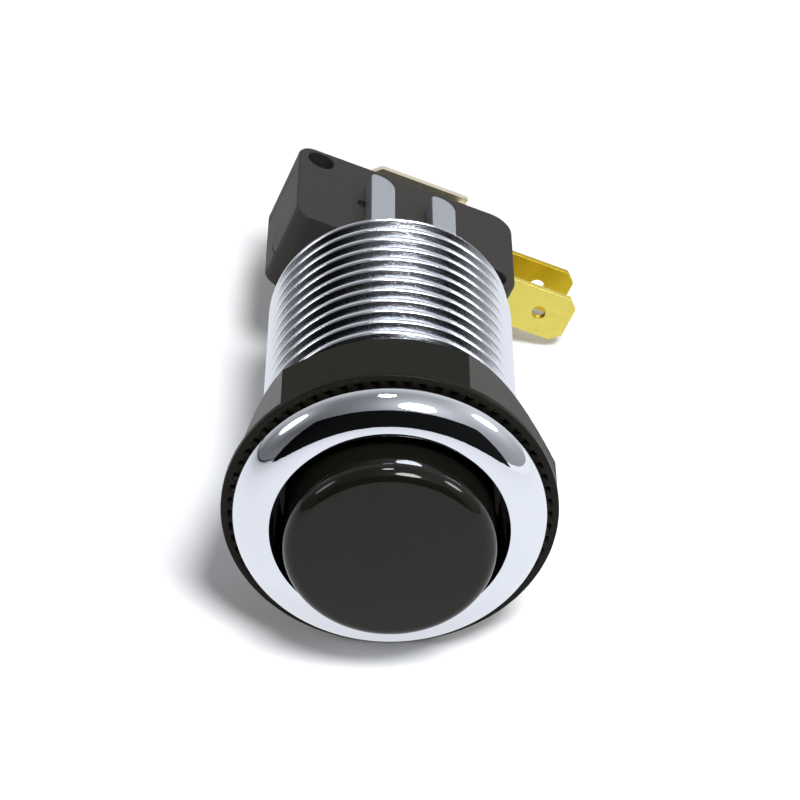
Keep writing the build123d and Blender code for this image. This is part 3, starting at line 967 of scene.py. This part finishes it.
class BUTTON_OT_switch_case(bpy.types.Operator):
    """Two halves of the switch's case"""

    bl_idname = "button.switch_case"
    bl_label = "Switch case"

    def execute(self, context):
        s = in_mm(context.scene.button_switch)
        p = in_mm(context.scene.button_plunger)
        long, thick = s.half_length, s.half_thickness
        inner = long - s.wall
        room = thick - s.wall
        slot = s.tab_half_width + 0.05
        thin = s.tab_thickness / 2 + 0.05
        grey = finish("case_grey", case_grey)

        # Front half
        cover = block((-long, s.front, -thick), (long, s.seam + 1, thick))
        round_edges(cover, upright(s.front, -long, long), s.small_corner, 6)
        round_edges(
            cover, lambda a, b: max(a.y, b.y) < s.front + 0.01 and abs(a.x - b.x) > long, s.front_chamfer, 1
        )
        soften(cover, s.edge, 3, 40)
        carve(cover, block((-long - 1, s.seam - 0.005, -thick - 1), (long + 1, s.seam + 2, thick + 1)))
        carve(cover, block((-inner, s.front + s.wall, -room), (inner - s.block, s.seam + 1, room)))
        carve(cover, block((inner - s.block - 0.1, s.front + s.block, -room), (inner, s.seam + 1, room)))
        carve(cover, mounting_hole(s, long - s.hole_inset, s.front + s.hole_setback))
        wide, deep = s.actuator_width / 2, s.actuator_depth / 2
        middle = -p.pusher_place
        carve(cover, block((middle - wide, s.front - 1, -deep), (middle + wide, s.front + 3, deep)))
        carve(cover, block((inner - 0.5, s.closed_tab - thin, -slot), (long + 1, s.closed_tab + thin, slot)))
        carve(cover, cross_rod(s.dimple_radius, thick - s.dimple_depth, thick + 1, s.dimple_x, s.dimple_y))

        # Curved groove on the case's end, cut stretch by stretch through (z, y) points
        groove = [
            (-0.6, 49.2), (-1.7, 49.1), (-2.4, 48.7), (-2.7, 48.0),
            (-2.6, 47.2), (-2.2, 46.0), (-1.4, 44.0), (-0.6, 42.0),
        ]
        for (z0, y0), (z1, y1) in zip(groove, groove[1:]):
            cut = block((-0.1, -0.06, -0.08), (0.5, hypot(y1 - y0, z1 - z0) + 0.06, 0.08))
            carve(cover, turned(cut, (atan2(z1 - z0, y1 - y0), 0, 0), (-long - 0.35, y0, z0)))
        settle(cover, "case_front", grey, "body", "case_plastic", ["switch_cover"], s.roll, flat=True)

        # Rear half
        base = block((-long, s.seam - 1, -thick), (long, s.rear, thick))
        round_edges(base, upright(s.rear, -long), s.small_corner, 6)
        round_edges(base, upright(s.rear, long), s.large_corner, 12)
        soften(base, s.edge, 3, 40)
        carve(base, block((-long - 1, s.seam - 2, -thick - 1), (long + 1, s.seam + 0.005, thick + 1)))
        carve(base, block((s.block - inner, s.seam - 1, -room), (inner, s.rear - s.floor, room)))
        carve(base, mounting_hole(s, s.hole_inset - long, s.rear - s.hole_setback))
        carve(base, block((inner - 0.5, s.open_tab - thin, -slot), (long + 1, s.open_tab + thin, slot)))
        bend = s.common_place - s.tab_thickness / 2
        strip = s.strip_half_width + 0.05
        carve(base, block((bend - thin, s.rear - s.floor - 0.5, -strip), (bend + thin, s.rear + 1, strip)))
        line = s.seam + 1.4
        carve(base, block((-long - 1, line, -thick - 1), (-long + 0.25, line + 0.2, 3.2)))
        settle(base, "case_rear", grey, "body", "case_plastic", ["switch_base"], s.roll, flat=True)
        return {"FINISHED"}


def mounting_hole(s, x, y):
    """Tool for a mounting hole with a slightly broken edge."""
    deep = s.half_thickness + 0.3
    near = s.half_thickness - 0.12
    flare = s.hole_radius + 0.42
    outline = [(0, -deep), (flare, -deep), (s.hole_radius, -near)]
    outline += [(s.hole_radius, near), (flare, deep), (0, deep)]
    return turned(lathe(outline, 64), (pi / 2, 0, 0), (x, y, 0))


class BUTTON_OT_tabs(bpy.types.Operator):
    """Two side tabs and the bent common tab"""

    bl_idname = "button.tabs"
    bl_label = "Tabs"

    def execute(self, context):
        s = in_mm(context.scene.button_switch)
        brass = finish("stamped_brass", stamped_brass(colour_of("brass")))
        # Painted shade on the farther tab: its brass is a darker copy of the nearer tab's
        deep = finish("deep_brass", stamped_brass(colour_of("deep_brass")))
        half = s.tab_thickness / 2
        outline = [
            (s.tab_root, -s.tab_half_width),
            (s.tab_tip - s.tab_chamfer, -s.tab_half_width),
            (s.tab_tip, s.tab_chamfer - s.tab_half_width),
            (s.tab_tip, s.tab_half_width - s.tab_chamfer),
            (s.tab_tip - s.tab_chamfer, s.tab_half_width),
            (s.tab_root, s.tab_half_width),
        ]
        tab = slab(outline, -half, half)
        turned(tab, (pi / 2, 0, 0))
        soften(tab, 0.14, 3)
        carve(tab, rod(s.tab_hole, -half - 1, half + 1, x=s.tab_tip - s.tab_hole_setback))
        closed = copied(tab, (0, s.closed_tab, 0))
        opened = copied(tab, (0, s.open_tab, 0))
        take(tab)
        bpy.ops.object.delete()
        hand_over = {"roll": s.roll, "flat": True}
        settle(closed, "nearer_tab", brass, "body", "tab_brass", ["normally_closed_terminal"], **hand_over)
        settle(opened, "farther_tab", deep, "body", "tab_brass", ["normally_open_terminal"], **hand_over)
        # Painted highlight on the common tab: a pale brass that stands in for the glare on its edge
        dress("common_terminal", finish("pale_brass", rolled_metal(colour_of("pale_brass"), 0.3)))
        return {"FINISHED"}


class BUTTON_OT_inside(bpy.types.Operator):
    """Snap leaf, and the finishes of the other pieces inside the switch"""

    bl_idname = "button.inside"
    bl_label = "Inside of the switch"

    def execute(self, context):
        copper = finish("rolled_copper", rolled_metal(colour_of("copper"), 0.25))
        silver = finish("silver_alloy", rolled_metal(colour_of("silver"), 0.2))
        dress("switch_actuator", finish("actuator_red", actuator_red))
        dress("contact_blade", copper)
        for contact in ("moving_contact", "normally_closed_contact", "normally_open_contact"):
            dress(contact, silver)

        # Bowed leaf by the common strip, which the actuator flattens in the real switch; here it stays bowed
        s = in_mm(context.scene.button_switch)
        middle = -in_mm(context.scene.button_plunger).pusher_place
        stop = s.seam - s.tab_thickness
        left, right = middle - s.leaf_half_length, middle + s.leaf_half_length
        thick = s.leaf_thickness
        seat = stop - 0.05
        tip = s.leaf_front + s.leaf_drop
        outline = bow((left, seat - thick), (middle, s.leaf_front), (right, tip), 16)
        under = bow((left, seat), (middle, s.leaf_front + thick), (right - thick, tip + thick), 16)
        leaf = slab(outline + under[::-1], -s.leaf_half_width, s.leaf_half_width)
        settle(leaf, "bowed_leaf", copper, "body", "blade_copper", ["snap_leaf"], s.roll)
        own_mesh(leaf)
        return {"FINISHED"}


class BUTTON_OT_stage(bpy.types.Operator):
    """White floor, dark card, soft lights and the camera"""

    bl_idname = "button.stage"
    bl_label = "Stage"

    def execute(self, context):
        scene = context.scene
        settings = scene.button_stage
        scene.view_settings.view_transform = "Standard"

        # Floor under the flange and the barrel's rear edge
        nut = in_mm(scene.button_nut)
        housing = in_mm(scene.button_housing)
        near = (nut.front + nut.flange_thickness, -nut.flange_radius)
        far = (housing.barrel_length - housing.end_chamfer, -housing.barrel_radius)
        tilt = atan2(far[1] - near[1], far[0] - near[0])
        bpy.ops.object.select_all(action="DESELECT")
        bpy.ops.mesh.primitive_plane_add(size=6)
        floor = context.object
        floor.name = "floor"
        floor.rotation_euler = (tilt, 0, 0)
        floor.location = (0, near[0] / 1000, near[1] / 1000)
        floor.data.materials.append(self.floor_paint(tuple(settings.floor)))

        # Dark card in front, which only reflections see
        self.card("dark_card", (0, -0.28, 0.05), (pi / 2, radians(4), 0), (0.60, 0.30), 0.002, 0.012)
        scene.world = self.room(settings.world)

        # Soft lights: one high on the right that casts the shadow, and four that show in the chrome
        key = self.light("key", 25, 61, (0.18, 0.18), settings.key)
        key.visible_glossy = False
        front = self.light("front", 19, 48, (0.19, 0.20), settings.glare)
        front.visible_diffuse = False
        overhead = self.light("overhead", -30, 83, (0.10, 0.09), settings.glare / 4)
        overhead.visible_diffuse = False
        self.light("left", -84, 28, (0.14, 0.20), settings.fill)
        self.light("right", 86, 34, (0.14, 0.17), settings.side)

        # Camera at the photograph's angle
        bpy.ops.object.camera_add(location=(0, 0, 0))
        camera = context.object
        camera.name = "camera"
        camera.data.lens = settings.lens
        camera.data.sensor_width = 36
        camera.data.clip_start = 0.01
        camera.matrix_world = Matrix((
            (0.99916, -0.03180, -0.02580, -0.00673),
            (-0.00240, 0.58240, -0.81290, -0.22606),
            (0.04090, 0.81230, 0.58190, 0.17685),
            (0, 0, 0, 1),
        ))
        scene.camera = camera
        return {"FINISHED"}

    def rays(self, work):
        """Masks of the rays that see a surface straight or through glass, and of mirrored ones."""
        path = work.add("ShaderNodeLightPath", output="Is Camera Ray")
        clear = Field(work, path.socket.node.outputs["Is Transmission Ray"])
        return (path + clear).held(), Field(work, path.socket.node.outputs["Is Glossy Ray"])

    def floor_paint(self, shade):
        """Floor that keeps its shadow and turns white far off; mirrored rays see a painted level instead,
        with a painted contact shadow round the object.
        """
        paint = bpy.data.materials.new("white_floor")
        paint.use_nodes = True
        work = Finish(paint.node_tree)
        shader = paint.node_tree.nodes["Principled BSDF"]
        tone = work.mix(work.noise(0.02, 2), shaded(shade, 0.99), shaded(shade, 1.01))
        work.feed(shader, {"Base Color": tone, "Roughness": 0.9, "Specular IOR Level": 0.1})
        seen, mirrored = self.rays(work)
        dark, white = (work.add("ShaderNodeEmission", None, {"Strength": power}) for power in (0.0, 1.0))
        x, y = work.axis(0), work.axis(1)
        far = (x * x + y * y) ** 0.5
        haze = 0.09 + 0.91 * ((far - 120) * 0.004).held()
        lift = work.blend(seen * haze, dark, white)
        lit = work.add("ShaderNodeAddShader", None, {0: Field(work, shader.outputs[0]), 1: lift})
        # Painted light and shade for mirrored rays: darker round the object for its contact shadow, darker
        # far off, slightly lighter towards +X
        level = 0.95 - 0.16 * ((far - 60) * 0.006).held() - 0.16 * (1 - 0.05 * far).held() + 0.0006 * x
        both = work.blend(mirrored, lit, work.blend(level.held(), dark, white))
        work.feed(paint.node_tree.nodes["Material Output"], {"Surface": both})
        return paint

    def room(self, strength):
        """World: white when seen straight, grey with soft halos in mirrored rays, plain light elsewhere."""
        world = bpy.data.worlds.new("white_room")
        world.use_nodes = True
        work = Finish(world.node_tree)
        seen, mirrored = self.rays(work)
        spot = work.add("ShaderNodeTexCoord", output="Object")
        x, y, z = (work.add("ShaderNodeSeparateXYZ", None, {0: spot}, i) for i in range(3))
        level = 0.26 + 0.1 * x + 0.12 * z + 0.4 * ((y - 0.1) * 2.5).held()
        level = level - 0.12 * ((0.3 - x) * 2).held() * ((0.2 - y) * 3).held() * (z * 3).held()
        for turn, rise, gain, sharp in ((22, 48, 0.45, 14), (-83, 29, 0.4, 30), (88, 33, 0.4, 18)):
            turn, rise = radians(turn), radians(rise)
            near = cos(rise) * sin(turn) * x - cos(rise) * cos(turn) * y + sin(rise) * z
            level = level + gain * near.maths("MAXIMUM", near, 0) ** sharp
        dark, plain, white = (
            work.add("ShaderNodeBackground", None, {"Color": (1, 1, 1, 1), "Strength": power})
            for power in (0.0, strength, 1.0)
        )
        sky = work.blend(mirrored, work.blend(seen, plain, white), work.blend(level.held(), dark, white))
        work.feed(world.node_tree.nodes["World Output"], {"Surface": sky})
        return world

    def card(self, name, place, turn, span, left, right):
        """A flat card that gives reflections a tone from left to right and is seen by nothing else."""
        bpy.ops.object.select_all(action="DESELECT")
        bpy.ops.mesh.primitive_plane_add(size=1)
        card = bpy.context.object
        card.name = name
        card.location = place
        card.rotation_euler = turn
        card.scale = (*span, 1)
        paint = bpy.data.materials.new(name)
        paint.use_nodes = True
        work = Finish(paint.node_tree)
        spot = work.add("ShaderNodeTexCoord", output="Object")
        across = (work.add("ShaderNodeSeparateXYZ", None, {0: spot}, 0) + 0.5).held()
        shade = work.mix(across, (left, left, left), (right, right, right))
        tone = work.add("ShaderNodeEmission", None, {"Color": shade, "Strength": 1.0})
        work.feed(paint.node_tree.nodes["Material Output"], {"Surface": tone})
        card.data.materials.append(paint)
        card.visible_camera = False
        card.visible_diffuse = False
        card.visible_shadow = False
        card.visible_transmission = False

    def light(self, name, turn, rise, span, power):
        """A soft light at angles in degrees from the front and the floor, aimed at the object."""
        turn, rise, distance = radians(turn), radians(rise), 0.55
        place = distance * Vector((cos(rise) * sin(turn), -cos(rise) * cos(turn), sin(rise)))
        bpy.ops.object.light_add(type="AREA", location=place)
        lamp = bpy.context.object
        lamp.name = name
        lamp.data.shape = "ELLIPSE"
        lamp.data.size, lamp.data.size_y = span
        lamp.data.energy = power
        aim = Vector((0, 0.015, 0)) - lamp.location
        lamp.rotation_euler = aim.to_track_quat("-Z", "Y").to_euler()
        lamp.visible_camera = False
        return lamp


class BUTTON_PT_panel(bpy.types.Panel):
    """Lists the button's sizes, colours and operators"""

    bl_idname = "BUTTON_PT_panel"
    bl_label = "Arcade push button"
    bl_space_type = "VIEW_3D"
    bl_region_type = "UI"
    bl_category = "Button"

    def draw(self, context):
        for group, name in GROUPS.items():
            box = self.layout.box()
            box.label(text=group.__doc__)
            for key in group.__annotations__:
                box.prop(getattr(context.scene, name), key)
        for operator in OPERATORS:
            self.layout.operator(operator.bl_idname)


GROUPS = {
    HousingSizes: "button_housing",
    PlungerSizes: "button_plunger",
    NutSizes: "button_nut",
    SwitchSizes: "button_switch",
    FinishColours: "button_colours",
    StageSettings: "button_stage",
}
OPERATORS = (
    BUTTON_OT_housing,
    BUTTON_OT_plunger,
    BUTTON_OT_spring,
    BUTTON_OT_nut,
    BUTTON_OT_switch_case,
    BUTTON_OT_tabs,
    BUTTON_OT_inside,
    BUTTON_OT_stage,
)


def register():
    for group, name in GROUPS.items():
        bpy.utils.register_class(group)
        setattr(bpy.types.Scene, name, bpy.props.PointerProperty(type=group))
    for operator in OPERATORS:
        bpy.utils.register_class(operator)
    bpy.utils.register_class(BUTTON_PT_panel)


def unregister():
    bpy.utils.unregister_class(BUTTON_PT_panel)
    for operator in reversed(OPERATORS):
        bpy.utils.unregister_class(operator)
    for group, name in reversed(GROUPS.items()):
        delattr(bpy.types.Scene, name)
        bpy.utils.unregister_class(group)


def main():
    register()
    bpy.ops.button.housing()
    bpy.ops.button.plunger()
    bpy.ops.button.spring()
    bpy.ops.button.nut()
    bpy.ops.button.switch_case()
    bpy.ops.button.tabs()
    bpy.ops.button.inside()
    bpy.ops.button.stage()


if __name__ == "__main__":
    main()
